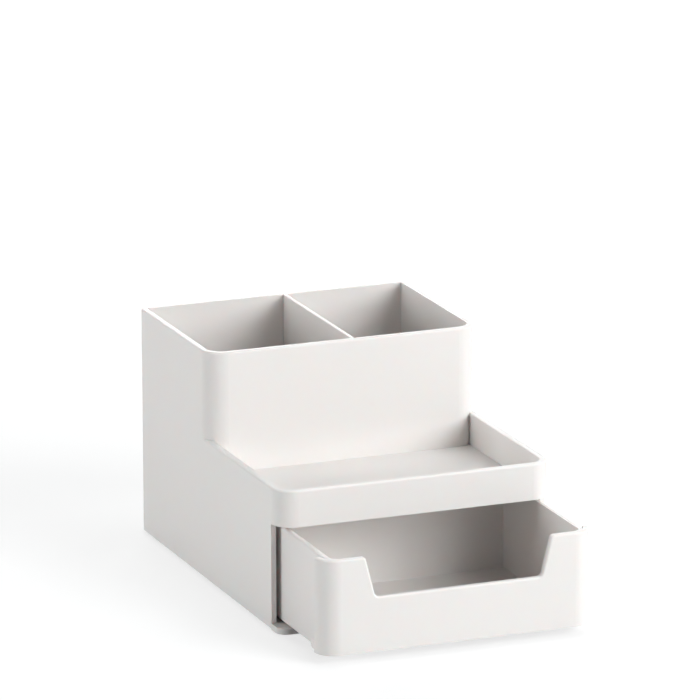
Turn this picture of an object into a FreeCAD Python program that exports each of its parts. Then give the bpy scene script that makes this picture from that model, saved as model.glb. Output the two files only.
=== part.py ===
import FreeCAD, Part
import os

os.makedirs("parts", exist_ok=True)
V = FreeCAD.Vector

# A moulded desk organizer: a two-compartment pen box at the back, an open tray in front of
# it, and a drawer that slides under the tray.
# +X is to the right, +Y to the back, +Z up. Z = 0 is the desk. X = 0 is the middle of the
# housing, and Y = 0 the middle of the outline with the drawer pulled out by DRAWER_OUT.

# Housing
WIDTH = 112.8
DEPTH = 151.4
PEN_BOX_RIM = 92.4
TRAY_RIM = 57.0
TRAY_FLOOR = 44.2
TRAY_DEPTH = 74.3
FLOOR_THICKNESS = 1.7
BAY_DEPTH = 78.6
WALL = 2.0
TRAY_SIDE_WALL = 1.3
WALL_BOTTOM = 0.9
FRONT_CORNER = 8.2
REAR_CORNER = 1.5
INNER_REAR_CORNER = 0.6
RIM_ROUND = 0.9
TRAY_FLOOR_ROUND = 1.2

# Base plate and the pads let into its underside
PAD_STAND = 0.5
PAD_THICKNESS = 1.5
PAD_RADIUS = 5.0
PAD_BEVEL = 0.25
PAD_INSET_X = 13.0
PAD_INSET_Y = 15.0
BASE_THICKNESS = 2.4
TONGUE_CORNER = 4.4
RUNNER_X = 38.0
RUNNER_WIDTH = 2.4
RUNNER_LEAD = 5.0

# Drawer
DRAWER_OUT = 41.8
DRAWER_LENGTH = 78.1
DRAWER_TOP = 41.2
PANEL_INSET = 0.85
PANEL_THICKNESS = 2.0
PANEL_CORNER = 7.9
PANEL_BOTTOM = 3.9
BOX_BOTTOM = 3.5
BOX_FLOOR = 2.0
BOX_WALL = 1.8
BOX_INSET = 4.0
BOX_FRONT_CORNER = 5.0
BOX_REAR_CORNER = 2.4
BOX_BOTTOM_ROUND = 1.2
INSIDE_FLOOR_ROUND = 0.5
NOTCH_TOP_HALF = 37.8
NOTCH_BOTTOM_HALF = 33.7
NOTCH_BOTTOM = 25.3
NOTCH_ROUND = 2.0
NOTCH_TOP_ROUND = 1.6
WEB_HEIGHT = 3.0
WEB_LENGTH = 19.5
WEB_SLOPE_END = 13.8
WEB_ROUND = 2.0
SLIDE_CLEARANCE = 0.3

# Guides on the side walls of the drawer bay
GUIDE_HEIGHT = 2.4
GUIDE_LEVELS = (12.0, 32.0)
GUIDE_SETBACK = 18.0
GUIDE_LEAD = 5.0

# Divider of the pen box
DIVIDER_X = 4.4
DIVIDER_THICKNESS = 1.6
DIVIDER_FIT = 0.05
DIVIDER_ROUND = 0.5
GROOVE_DEPTH = 0.7

# Places that follow from the sizes
HALF = WIDTH / 2
INNER_HALF = HALF - WALL
FRONT_Y = -(DEPTH - DRAWER_OUT) / 2
BACK_Y = FRONT_Y + DEPTH
SIDE_FRONT_Y = FRONT_Y + FRONT_CORNER
PEN_BOX_Y = FRONT_Y + TRAY_DEPTH
BAY_BACK_Y = FRONT_Y + BAY_DEPTH
BASE_TOP = PAD_STAND + BASE_THICKNESS
BAY_TOP = TRAY_FLOOR - FLOOR_THICKNESS
PULLED_Y = FRONT_Y - DRAWER_OUT
BOX_HALF = HALF - BOX_INSET
PANEL_HALF = HALF - PANEL_INSET
PAST = 1.0


def near(a, b):
    return abs(a - b) < 1e-4


def round_edges(solid, radius, chosen):
    """Rounds the edges for which chosen(bounding box) is true."""
    edges = [edge for edge in solid.Edges if chosen(edge.BoundBox)]
    return solid.makeFillet(radius, edges)


def at_level(z):
    return lambda box: near(box.ZMin, z) and near(box.ZMax, z)


def block(half, y0, y1, z0, z1, front_radius=0.0, back_radius=0.0):
    """An upright block, symmetrical about X = 0, with rounded corners in plan."""
    solid = Part.makeBox(2 * half, y1 - y0, z1 - z0, V(-half, y0, z0))
    for y, radius in ((y0, front_radius), (y1, back_radius)):
        if radius > 0:
            solid = round_edges(solid, radius, lambda box: box.ZLength > z1 - z0 - 0.1
                                and near(box.YMin, y) and near(box.YMax, y))
    return solid


def plan_prism(points, z0, z1):
    """A prism on a plan outline given as (x, y) points."""
    corners = [V(x, y, z0) for x, y in points]
    face = Part.Face(Part.makePolygon(corners + corners[:1]))
    return face.extrude(V(0, 0, z1 - z0))


def both_sides(solid):
    """The solid and its mirror image across X = 0."""
    return [solid, solid.mirror(V(0, 0, 0), V(1, 0, 0))]


def pen_box_outside():
    return block(HALF, PEN_BOX_Y, BACK_Y, WALL_BOTTOM, PEN_BOX_RIM, FRONT_CORNER, REAR_CORNER)


def tray_hollow():
    """The tray's inside: it follows the rounded front corners of the pen box."""
    hollow = block(HALF - TRAY_SIDE_WALL, FRONT_Y + WALL, PEN_BOX_Y + FRONT_CORNER, TRAY_FLOOR,
                   TRAY_RIM + PAST, FRONT_CORNER - WALL)
    hollow = round_edges(hollow, TRAY_FLOOR_ROUND, at_level(TRAY_FLOOR))
    return hollow.cut(pen_box_outside())


def drawer_bay():
    """The space under the tray, open to the front, where the side walls start further back."""
    bay = block(INNER_HALF, FRONT_Y - PAST, BAY_BACK_Y, 0, BAY_TOP)
    opening = block(HALF + PAST, FRONT_Y - PAST, SIDE_FRONT_Y, 0, BAY_TOP)
    return bay.fuse(opening)


def divider_shape(reach, shoulder, top, thickness):
    """The divider's stepped plate, going in by reach at the compartments' front and back walls."""
    upper_front = PEN_BOX_Y + WALL - reach
    lower_front = BAY_BACK_Y + WALL - reach
    back = BACK_Y - WALL + reach
    corners = [(lower_front, BASE_TOP), (lower_front, shoulder), (upper_front, shoulder),
               (upper_front, top), (back, top), (back, BASE_TOP)]
    points = [V(DIVIDER_X - thickness / 2, y, z) for y, z in corners]
    face = Part.Face(Part.makePolygon(points + points[:1]))
    return face.extrude(V(thickness, 0, 0))


def pen_box_hollow():
    """Both pen compartments with the divider's grooves. Below the tray they start behind the bay."""
    back = BACK_Y - WALL
    upper = block(INNER_HALF, PEN_BOX_Y + WALL, back, TRAY_FLOOR, PEN_BOX_RIM + PAST,
                  FRONT_CORNER - WALL, INNER_REAR_CORNER)
    lower = block(INNER_HALF, BAY_BACK_Y + WALL, back, 0, TRAY_FLOOR, INNER_REAR_CORNER,
                  INNER_REAR_CORNER)
    grooves = divider_shape(GROOVE_DEPTH, TRAY_FLOOR, PEN_BOX_RIM + PAST,
                            DIVIDER_THICKNESS + 2 * DIVIDER_FIT)
    return upper.fuse(lower).fuse(grooves)


def side_guides():
    """Ribs on the bay's side walls that keep the drawer straight, each with a lead-in."""
    y0 = SIDE_FRONT_Y + GUIDE_SETBACK
    y1 = BAY_BACK_Y
    face_x = BOX_HALF + SLIDE_CLEARANCE
    outline = [(INNER_HALF + PAST, y0), (INNER_HALF, y0), (face_x, y0 + GUIDE_LEAD),
               (face_x, y1), (INNER_HALF + PAST, y1)]
    guides = []
    for level in GUIDE_LEVELS:
        guides += both_sides(plan_prism(outline, level, level + GUIDE_HEIGHT))
    return guides


def housing():
    """Tray, drawer bay and pen box in one moulded shell, open underneath."""
    tray = block(HALF, FRONT_Y, BACK_Y, WALL_BOTTOM, TRAY_RIM, FRONT_CORNER, REAR_CORNER)
    tray = round_edges(tray, RIM_ROUND, at_level(TRAY_RIM))
    pen_box = round_edges(pen_box_outside(), RIM_ROUND, at_level(PEN_BOX_RIM))
    shell = tray.fuse(pen_box)
    shell = shell.cut(tray_hollow())
    shell = shell.cut(drawer_bay())
    shell = shell.cut(pen_box_hollow())
    shell = shell.cut(block(INNER_HALF, FRONT_Y, BACK_Y - WALL, 0, BASE_TOP, 0, INNER_REAR_CORNER))
    shell = shell.fuse(side_guides())
    return shell.removeSplitter()


def base_plate():
    """The floor of the bay and of the pen box, with a full-width tongue at the front."""
    inside = block(INNER_HALF, SIDE_FRONT_Y, BACK_Y - WALL, PAD_STAND, BASE_TOP, 0, INNER_REAR_CORNER)
    tongue = block(HALF, FRONT_Y, SIDE_FRONT_Y + FRONT_CORNER, PAD_STAND, BASE_TOP, TONGUE_CORNER)
    tongue = tongue.common(block(HALF, FRONT_Y, SIDE_FRONT_Y, PAD_STAND, BASE_TOP))
    plate = inside.fuse(tongue).removeSplitter()
    plate = plate.fuse(runners())
    for x, y in pad_places().values():
        recess = Part.makeCylinder(PAD_RADIUS, PAD_THICKNESS, V(x, y, 0))
        plate = plate.cut(recess)
    return plate


def runners():
    """Two low rails that carry the drawer, sloped at the front so that it rides up on them."""
    y0 = SIDE_FRONT_Y
    y1 = BAY_BACK_Y
    top = BOX_BOTTOM - SLIDE_CLEARANCE
    profile = [V(0, y0, BASE_TOP), V(0, y0 + RUNNER_LEAD, top), V(0, y1, top), V(0, y1, BASE_TOP)]
    face = Part.Face(Part.makePolygon(profile + profile[:1]))
    rail = face.extrude(V(RUNNER_WIDTH, 0, 0))
    rail.translate(V(RUNNER_X - RUNNER_WIDTH / 2, 0, 0))
    return both_sides(rail)


def divider():
    """The plate between the pen compartments, let into a groove at each end."""
    plate = divider_shape(GROOVE_DEPTH - DIVIDER_FIT, TRAY_FLOOR + DIVIDER_FIT, PEN_BOX_RIM,
                          DIVIDER_THICKNESS)
    return round_edges(plate, DIVIDER_ROUND, lambda box: at_level(PEN_BOX_RIM)(box) and box.YLength > 1)


def notch():
    """The finger notch's cut-out: tapered, with rounded lower corners and eased upper ones."""
    beside = NOTCH_TOP_HALF + 2 * NOTCH_TOP_ROUND
    right = [(NOTCH_BOTTOM_HALF, NOTCH_BOTTOM), (NOTCH_TOP_HALF, DRAWER_TOP),
             (beside, DRAWER_TOP), (beside, DRAWER_TOP + PAST)]
    left = [(-x, z) for x, z in reversed(right)]
    points = [V(x, PULLED_Y - PAST, z) for x, z in right + left]
    face = Part.Face(Part.makePolygon(points + points[:1]))
    cut_out = face.extrude(V(0, PANEL_THICKNESS + 2 * PAST, 0))
    cut_out = round_edges(cut_out, NOTCH_ROUND, lambda box: box.YLength > PANEL_THICKNESS
                          and near(box.ZMax, NOTCH_BOTTOM))
    return round_edges(cut_out, NOTCH_TOP_ROUND, lambda box: box.YLength > PANEL_THICKNESS
                       and near(box.ZMin, DRAWER_TOP) and near(abs(box.XMin), NOTCH_TOP_HALF))


def on_panel_rim(box):
    """True for the outer edges along the panel's top and round the notch."""
    on_front = near(box.YMin, PULLED_Y) and near(box.YMax, PULLED_Y) and box.ZMin > NOTCH_BOTTOM - PAST
    on_end = at_level(DRAWER_TOP)(box) and near(max(-box.XMin, box.XMax), PANEL_HALF)
    return on_front or on_end


def drawer_panel():
    """The drawer's front: a flat panel whose rounded ends return as free-standing lips."""
    deep = 3 * PANEL_CORNER
    outer = block(PANEL_HALF, PULLED_Y, PULLED_Y + deep, PANEL_BOTTOM, DRAWER_TOP, PANEL_CORNER)
    inner = block(PANEL_HALF - PANEL_THICKNESS, PULLED_Y + PANEL_THICKNESS, PULLED_Y + 2 * deep,
                  0, DRAWER_TOP + PAST, PANEL_CORNER - PANEL_THICKNESS)
    reach = block(HALF, PULLED_Y, PULLED_Y + PANEL_CORNER, 0, DRAWER_TOP)
    panel = outer.cut(inner).common(reach).cut(notch())
    return round_edges(panel, RIM_ROUND, on_panel_rim)


def panel_webs():
    """Low webs with rounded shoulders that join the box's sides to the feet of the panel's lips."""
    inside_x = BOX_HALF - BOX_WALL / 2
    face_x = INNER_HALF - SLIDE_CLEARANCE
    lip_y = PULLED_Y + PANEL_CORNER - PAST
    outline = [(inside_x, PULLED_Y + WEB_LENGTH), (BOX_HALF, PULLED_Y + WEB_LENGTH),
               (face_x, PULLED_Y + WEB_SLOPE_END), (face_x, lip_y), (inside_x, lip_y)]
    top = PANEL_BOTTOM + WEB_HEIGHT
    web = plan_prism(outline, PANEL_BOTTOM, top)
    web = round_edges(web, WEB_ROUND, lambda box: at_level(top)(box) and near(box.XMax, face_x)
                      and box.YLength > PAST)
    return both_sides(web)


def drawer_box():
    """The drawer's open box, whose front wall backs the panel."""
    back = PULLED_Y + DRAWER_LENGTH
    box = block(BOX_HALF, PULLED_Y + RIM_ROUND, back, BOX_BOTTOM, DRAWER_TOP, BOX_FRONT_CORNER,
                BOX_REAR_CORNER)
    box = round_edges(box, BOX_BOTTOM_ROUND, at_level(BOX_BOTTOM))
    box = round_edges(box, RIM_ROUND, at_level(DRAWER_TOP))
    inside = block(BOX_HALF - BOX_WALL, PULLED_Y + PANEL_THICKNESS, back - BOX_WALL,
                   BOX_BOTTOM + BOX_FLOOR, DRAWER_TOP + PAST, BOX_FRONT_CORNER - BOX_WALL,
                   BOX_REAR_CORNER - BOX_WALL)
    inside = round_edges(inside, INSIDE_FLOOR_ROUND, at_level(BOX_BOTTOM + BOX_FLOOR))
    return box.cut(inside).cut(notch())


def drawer():
    """The drawer, pulled out by DRAWER_OUT."""
    return drawer_box().fuse([drawer_panel()] + panel_webs()).removeSplitter()


def pad_places():
    """The pads' centres in plan, by node name."""
    places = {}
    for side, x in (("left", -HALF + PAD_INSET_X), ("right", HALF - PAD_INSET_X)):
        places["pad_front_" + side] = (x, FRONT_Y + PAD_INSET_Y)
        places["pad_rear_" + side] = (x, BACK_Y - PAD_INSET_Y)
    return places


def pad(x, y):
    """A round non-slip pad that fills its recess and stands proud of the base plate."""
    disc = Part.makeCylinder(PAD_RADIUS, PAD_THICKNESS, V(x, y, 0))
    rim = [edge for edge in disc.Edges if at_level(0)(edge.BoundBox)]
    return disc.makeChamfer(PAD_BEVEL, rim)


nodes = {"housing": housing(), "base_plate": base_plate(), "divider": divider(), "drawer": drawer()}
for pad_name, (pad_x, pad_y) in pad_places().items():
    nodes[pad_name] = pad(pad_x, pad_y)

for name, shape in nodes.items():
    shape.exportStep("parts/" + name + ".step")
    box = shape.BoundBox
    print(name, "valid", shape.isValid(), "solids", len(shape.Solids), "volume", round(shape.Volume),
          "x", round(box.XMin, 2), round(box.XMax, 2), "y", round(box.YMin, 2), round(box.YMax, 2),
          "z", round(box.ZMin, 2), round(box.ZMax, 2))
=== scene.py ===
import math

import bmesh
import bpy
from mathutils import Euler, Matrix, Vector


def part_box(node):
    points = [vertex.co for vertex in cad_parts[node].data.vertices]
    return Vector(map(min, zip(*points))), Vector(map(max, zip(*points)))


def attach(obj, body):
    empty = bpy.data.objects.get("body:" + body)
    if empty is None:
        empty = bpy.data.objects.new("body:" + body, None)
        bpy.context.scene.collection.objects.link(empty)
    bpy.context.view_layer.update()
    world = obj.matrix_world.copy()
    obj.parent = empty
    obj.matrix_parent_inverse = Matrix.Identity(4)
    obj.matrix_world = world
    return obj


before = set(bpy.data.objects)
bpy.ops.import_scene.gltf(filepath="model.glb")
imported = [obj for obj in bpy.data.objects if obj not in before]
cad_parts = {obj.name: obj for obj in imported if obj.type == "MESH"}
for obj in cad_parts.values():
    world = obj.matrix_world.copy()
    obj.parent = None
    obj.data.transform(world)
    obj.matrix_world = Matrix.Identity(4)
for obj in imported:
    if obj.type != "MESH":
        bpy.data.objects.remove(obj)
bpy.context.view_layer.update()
scene = bpy.context.scene

# Camera: a long lens, low at the front left
CAMERA_PLACE = (-0.90109, -2.24855, 0.74596)
CAMERA_YAW = 21.7177
CAMERA_PITCH = 15.0783
CAMERA_ROLL = -0.1367
LENS = 334.286
SENSOR = 36.0
CAMERA_REACH = 50.0

# Softboxes: degrees round from the front to the right, degrees up, width and height in metres, watts.
# They face the organizer from LIGHT_DISTANCE away.
SOFTBOXES = {
    "key_right": (36.0, 24.0, 1.3, 1.2, 42.6),
    "fill_left": (-93.0, 10.5, 0.85, 0.7, 18.3),
    "back_light": (175.0, 27.0, 1.5, 0.9, 22.4),
    "overhead": (90.0, 74.0, 1.2, 1.2, 12.2),
}
LIGHT_DISTANCE = 2.0
LIGHT_TARGET = Vector((0.0, 0.0, 0.04))
LIGHT_COLOUR = (0.972, 0.994, 1.0)

# Floor and backdrop: what the organizer is lit by, and what the eye sees of them
FLOOR_HALF = 8.0
FLOOR_COLOUR = 0.75
FLOOR_ROUGHNESS = 0.9
FLOOR_SEEN_COLOUR = 0.35
FLOOR_SEEN_GLOW = 0.70
WORLD_STRENGTH = 0.0
BACKDROP_STRENGTH = 1.0
WHITE = 1.0

# Rims along the tray's sides, in metres
TRAY_FRONT_WALL = 0.002
TRAY_SIDE_WALL = 0.003
TRAY_FLOOR_HEIGHT = 0.0442
TRAY_RIM_HEIGHT = 0.057
PEN_BOX_SETBACK = 0.0743
RIM_CORNER = 0.00615
RIM_ROUND = 0.0005
# A rim is let into the walls and the floor.
# It stays a hair under the housing's edge and leaves that edge's rounding clear.
RIM_SEAT = 0.0006
RIM_REAR_SEAT = 0.0047
RIM_UNDER_EDGE = 0.00001
HOUSING_EDGE = 0.0007
CORNER_STEPS = 12
ROUND_STEPS = 4
MERGE_DISTANCE = 1e-6

# Plastic
PLASTIC_COLOUR = (0.80, 0.77, 0.75)
PLASTIC_IOR = 1.46
CLOUD_SIZE = 0.045
CLOUD_DEPTH = 0.012
SHEEN_ROUGHNESS = 0.42
SHEEN_VARIATION = 0.08
SHEEN_SIZE = 0.016
TRANSLUCENCY = 0.3
SCATTER_COLOUR = (1.0, 0.4, 0.3)
SCATTER_DEPTH = 0.0012
GRAIN_SIZE = 0.00045
GRAIN_DETAIL = 3.0
GRAIN_MIX = 0.6
GRAIN_HEIGHT = 0.000012

# Pads
PAD_COLOUR = (0.55, 0.55, 0.54)
PAD_SHADE = 0.9
PAD_CLOUD_SIZE = 0.0033
PAD_ROUGHNESS = 0.75
PAD_ROUGHNESS_VARIATION = 0.1
PAD_SHEEN_SIZE = 0.002
PAD_GRAIN_SIZE = 0.00055
PAD_GRAIN_HEIGHT = 0.00005
PAD_GRAIN_STRENGTH = 0.6

# The colour sockets of a Mix node
MIX_LOW = 6
MIX_HIGH = 7
MIX_RESULT = 2


class Sock:
    """A shader socket on which Python's operators add Math nodes."""

    def __init__(self, nodes, socket):
        self.nodes = nodes
        self.socket = socket

    def _math(self, operation, *values):
        node = self.nodes.node("ShaderNodeMath", {"operation": operation}, dict(enumerate(values)))
        return Sock(self.nodes, node.outputs[0])

    def __add__(self, other):
        return self._math("ADD", self, other)

    def __radd__(self, other):
        return self._math("ADD", other, self)

    def __mul__(self, other):
        return self._math("MULTIPLY", self, other)

    def __rmul__(self, other):
        return self._math("MULTIPLY", other, self)

    def highest(self, other):
        return self._math("MAXIMUM", self, other)


class Nodes:
    """Adds nodes to the node tree of a material or of the world."""

    def __init__(self, tree):
        self.tree = tree

    def node(self, kind, settings=None, inputs=None):
        node = self.tree.nodes.new(kind)
        for name, value in (settings or {}).items():
            setattr(node, name, value)
        for name, value in (inputs or {}).items():
            self.feed(node.inputs[name], value)
        return node

    def feed(self, socket, value):
        if isinstance(value, Sock):
            value = value.socket
        if isinstance(value, bpy.types.NodeSocket):
            self.tree.links.new(value, socket)
        else:
            socket.default_value = value


class Shader(Nodes):
    """A material's node tree with its Principled shader."""

    def __init__(self, name):
        self.material = bpy.data.materials.new(name)
        self.material.use_nodes = True
        super().__init__(self.material.node_tree)
        self.surface = self.tree.nodes["Principled BSDF"]
        self.place = self.node("ShaderNodeTexCoord").outputs["Object"]

    def noise(self, size, detail=2.0, roughness=0.5):
        """Soft noise from 0 to 1, whose features are about size across, in metres."""
        node = self.node("ShaderNodeTexNoise", None, {
            "Vector": self.place, "Scale": 1.0 / size, "Detail": detail, "Roughness": roughness})
        return Sock(self, node.outputs["Fac"])

    def blend(self, factor, low, high):
        """A colour that goes from low to high as the factor goes from 0 to 1."""
        node = self.node("ShaderNodeMix", {"data_type": "RGBA"}, {"Factor": factor})
        self.feed(node.inputs[MIX_LOW], (*low, 1.0))
        self.feed(node.inputs[MIX_HIGH], (*high, 1.0))
        return node.outputs[MIX_RESULT]

    def set(self, **values):
        for name, value in values.items():
            self.feed(self.surface.inputs[name.replace("_", " ")], value)

    def bump(self, height, distance, strength=1.0):
        node = self.node("ShaderNodeBump", None, {
            "Height": height, "Distance": distance, "Strength": strength})
        self.feed(self.surface.inputs["Normal"], node.outputs["Normal"])


def shade(colour, factor):
    return tuple(min(1.0, channel * factor) for channel in colour)


def moulded_plastic(name, colour):
    """Warm white and satin, with a fine grain, and a little light that passes just under the surface."""
    shader = Shader(name)
    cloud = shader.noise(CLOUD_SIZE)
    grain = shader.noise(GRAIN_SIZE, GRAIN_DETAIL, GRAIN_MIX)
    dark = shade(colour, 1 - CLOUD_DEPTH)
    light = shade(colour, 1 + CLOUD_DEPTH)
    shader.set(Base_Color=shader.blend(cloud, dark, light),
               Roughness=SHEEN_ROUGHNESS + SHEEN_VARIATION * shader.noise(SHEEN_SIZE),
               IOR=PLASTIC_IOR,
               Subsurface_Weight=TRANSLUCENCY,
               Subsurface_Radius=SCATTER_COLOUR,
               Subsurface_Scale=SCATTER_DEPTH)
    shader.bump(grain, GRAIN_HEIGHT)
    return shader.material


def pad_rubber(name, colour):
    shader = Shader(name)
    cloud = shader.noise(PAD_CLOUD_SIZE)
    shader.set(Base_Color=shader.blend(cloud, shade(colour, PAD_SHADE), colour),
               Roughness=PAD_ROUGHNESS + PAD_ROUGHNESS_VARIATION * shader.noise(PAD_SHEEN_SIZE))
    shader.bump(shader.noise(PAD_GRAIN_SIZE), PAD_GRAIN_HEIGHT, PAD_GRAIN_STRENGTH)
    return shader.material


def dress(node, material):
    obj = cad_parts[node]
    obj.data.materials.clear()
    obj.data.materials.append(material)


def round_corner(shape, corner, radius):
    """Rounds one corner of a flat outline."""
    bmesh.ops.bevel(shape, geom=[corner], offset=radius, segments=CORNER_STEPS, profile=0.5,
                    affect="VERTICES", material=-1)


def rim_shape(side):
    """A rim for one side: against the tray's side wall, and running out in the rounded front corner."""
    lowest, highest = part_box("housing")
    inner_x = highest.x - TRAY_SIDE_WALL
    outer_x = highest.x - HOUSING_EDGE
    end_x = inner_x - RIM_CORNER
    front_y = lowest.y + TRAY_FRONT_WALL
    seat_y = front_y - RIM_SEAT
    rear_y = lowest.y + PEN_BOX_SETBACK + RIM_REAR_SEAT
    foot_z = TRAY_FLOOR_HEIGHT - RIM_SEAT
    top_z = TRAY_RIM_HEIGHT - RIM_UNDER_EDGE

    def on_inner_face(vertex):
        across = max(0.0, vertex.co.x - end_x)
        along = max(0.0, front_y + RIM_CORNER - vertex.co.y)
        return math.hypot(across, along) < RIM_CORNER + MERGE_DISTANCE

    shape = bmesh.new()
    plan = ((inner_x, rear_y), (inner_x, front_y), (end_x, front_y),
            (end_x, seat_y), (outer_x, seat_y), (outer_x, rear_y))
    outline = [shape.verts.new((x, y, foot_z)) for x, y in plan]
    shape.faces.new(outline)
    inner_corner = outline[1]
    outer_corner = outline[4]
    round_corner(shape, outer_corner, RIM_CORNER + RIM_SEAT)
    round_corner(shape, inner_corner, RIM_CORNER)
    bmesh.ops.remove_doubles(shape, verts=shape.verts, dist=MERGE_DISTANCE)

    raised = bmesh.ops.extrude_face_region(shape, geom=shape.faces[:])["geom"]
    top = [piece for piece in raised if isinstance(piece, bmesh.types.BMVert)]
    bmesh.ops.translate(shape, verts=top, vec=(0.0, 0.0, top_z - foot_z))
    bmesh.ops.recalc_face_normals(shape, faces=shape.faces)
    inner_top = {vertex for vertex in top if on_inner_face(vertex)}
    rounded = [edge for edge in shape.edges if set(edge.verts) <= inner_top]
    bmesh.ops.bevel(shape, geom=rounded, offset=RIM_ROUND, segments=ROUND_STEPS, profile=0.5,
                    affect="EDGES", material=-1)

    bmesh.ops.scale(shape, verts=shape.verts, vec=(side, 1.0, 1.0))
    bmesh.ops.recalc_face_normals(shape, faces=shape.faces)
    return shape


def tray_side_rim(side, name, material):
    """Thickens one side wall of the tray inwards: -1 is the left side and 1 the right."""
    shape = rim_shape(side)
    mesh = bpy.data.meshes.new(name)
    shape.to_mesh(mesh)
    shape.free()
    mesh.materials.append(material)
    rim = bpy.data.objects.new(name, mesh)
    scene.collection.objects.link(rim)
    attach(rim, "organizer")


def add_softboxes():
    for name, (around, up, width, height, watts) in SOFTBOXES.items():
        lamp = bpy.data.lights.new(name, "AREA")
        lamp.energy = watts
        lamp.color = LIGHT_COLOUR
        lamp.shape = "RECTANGLE"
        lamp.size = width
        lamp.size_y = height
        obj = bpy.data.objects.new(name, lamp)
        scene.collection.objects.link(obj)
        turn = Euler((math.radians(-up), 0, math.radians(around)))
        towards = turn.to_matrix() @ Vector((0, -1, 0))
        obj.location = LIGHT_TARGET + LIGHT_DISTANCE * towards
        obj.rotation_euler = (-towards).to_track_quat("-Z", "Y").to_euler()


def grey(level):
    return (level, level, level, 1.0)


def seen_rays(nodes):
    """1 for what the eye, a reflection or a see-through piece looks at directly, and otherwise 0."""
    path = nodes.node("ShaderNodeLightPath").outputs
    seen = Sock(nodes, path["Is Camera Ray"])
    return seen.highest(path["Is Glossy Ray"]).highest(path["Is Transmission Ray"])


def add_world():
    """Gives no light of its own, and is white wherever it is seen."""
    world = bpy.data.worlds.new("studio")
    scene.world = world
    world.use_nodes = True
    nodes = Nodes(world.node_tree)
    light = nodes.tree.nodes["Background"]
    nodes.feed(light.inputs["Color"], grey(WHITE))
    nodes.feed(light.inputs["Strength"], WORLD_STRENGTH)
    backdrop = nodes.node("ShaderNodeBackground", None, {
        "Color": grey(WHITE), "Strength": BACKDROP_STRENGTH})
    mix = nodes.node("ShaderNodeMixShader", None, {
        0: seen_rays(nodes), 1: light.outputs[0], 2: backdrop.outputs[0]})
    nodes.feed(nodes.tree.nodes["World Output"].inputs["Surface"], mix.outputs[0])


def floor_material():
    """Pale and matt. Where it is seen it also glows a little, so that it is white and keeps the shadow."""
    shader = Shader("pale_floor")
    shader.set(Base_Color=grey(FLOOR_COLOUR), Roughness=FLOOR_ROUGHNESS, Specular_IOR_Level=0.0)
    seen = shader.node("ShaderNodeBsdfPrincipled", None, {
        "Base Color": grey(FLOOR_SEEN_COLOUR), "Roughness": FLOOR_ROUGHNESS, "Specular IOR Level": 0.0,
        "Emission Color": grey(WHITE), "Emission Strength": FLOOR_SEEN_GLOW})
    mix = shader.node("ShaderNodeMixShader", None, {
        0: seen_rays(shader), 1: shader.surface.outputs[0], 2: seen.outputs[0]})
    shader.feed(shader.tree.nodes["Material Output"].inputs["Surface"], mix.outputs[0])
    return shader.material


def add_floor():
    shape = bmesh.new()
    bmesh.ops.create_grid(shape, x_segments=1, y_segments=1, size=FLOOR_HALF)
    mesh = bpy.data.meshes.new("floor")
    shape.to_mesh(mesh)
    shape.free()
    mesh.materials.append(floor_material())
    floor = bpy.data.objects.new("floor", mesh)
    scene.collection.objects.link(floor)


def add_camera():
    camera = bpy.data.cameras.new("camera")
    camera.lens = LENS
    camera.sensor_width = SENSOR
    camera.clip_end = CAMERA_REACH
    obj = bpy.data.objects.new("camera", camera)
    scene.collection.objects.link(obj)
    obj.location = CAMERA_PLACE
    turn = Euler((math.radians(90 - CAMERA_PITCH), 0, math.radians(-CAMERA_YAW)), "XYZ")
    roll = Euler((0, 0, math.radians(CAMERA_ROLL)), "XYZ")
    obj.rotation_euler = (turn.to_matrix() @ roll.to_matrix()).to_euler()
    scene.camera = obj


plastic = moulded_plastic("warm_white_plastic", PLASTIC_COLOUR)
rubber = pad_rubber("grey_pad_rubber", PAD_COLOUR)
for node_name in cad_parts:
    dress(node_name, rubber if node_name.startswith("pad_") else plastic)
tray_side_rim(-1, "tray_rim_left", plastic)
tray_side_rim(1, "tray_rim_right", plastic)
add_camera()
add_world()
add_softboxes()
add_floor()
scene.view_settings.view_transform = "Standard"
